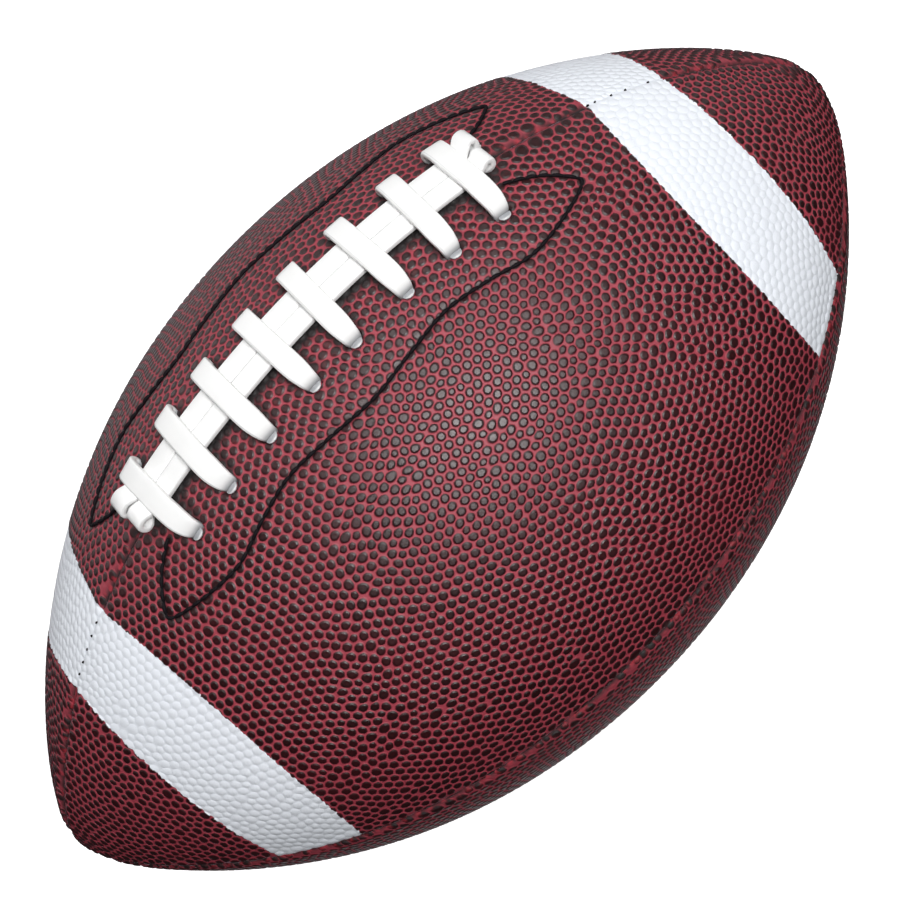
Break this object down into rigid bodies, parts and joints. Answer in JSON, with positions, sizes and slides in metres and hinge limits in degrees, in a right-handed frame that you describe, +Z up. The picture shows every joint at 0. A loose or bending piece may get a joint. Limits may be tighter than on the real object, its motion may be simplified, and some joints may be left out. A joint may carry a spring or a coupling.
{
  "type": "american football",
  "caption": "Pointed oval ball of four laced leather panels over an inflated bladder, for throwing, catching and kicking.",
  "frame": {"origin": "the ball's lowest point, halfway along its length, where it touches level ground", "axes": "+X along the ball from tip to tip, +Z up through the laces, -Y towards the front"},
  "size_m": [0.292, 0.171, 0.1752],
  "materials": {
    "crimson_leather": "pebbled, dark raised grains on crimson, two white painted stripes",
    "lining_cloth": "plain cotton lining",
    "grey_vinyl": "matt",
    "black_rubber": "matt",
    "white_vinyl": "smooth satin",
    "black_thread": "waxed thread"
  },
  "bodies": {
    "root": {"panel_front_top": "crimson_leather", "panel_back_top": "crimson_leather", "panel_front_bottom": "crimson_leather", "panel_back_bottom": "crimson_leather", "lining_front_top": "lining_cloth", "lining_back_top": "lining_cloth", "lining_front_bottom": "lining_cloth", "lining_back_bottom": "lining_cloth", "lace_facing_front": "grey_vinyl", "lace_facing_back": "grey_vinyl", "bladder_guard": "grey_vinyl", "valve_core": "grey_vinyl", "bladder": "black_rubber", "valve_housing": "black_rubber", "lace": "white_vinyl", "seam_thread_front": "black_thread", "seam_thread_bottom": "black_thread", "seam_thread_back": "black_thread", "seam_thread_top_left": "black_thread", "seam_thread_top_right": "black_thread", "facing_stitch_front": "black_thread", "facing_stitch_back": "black_thread"}
  },
  "joints": []
}
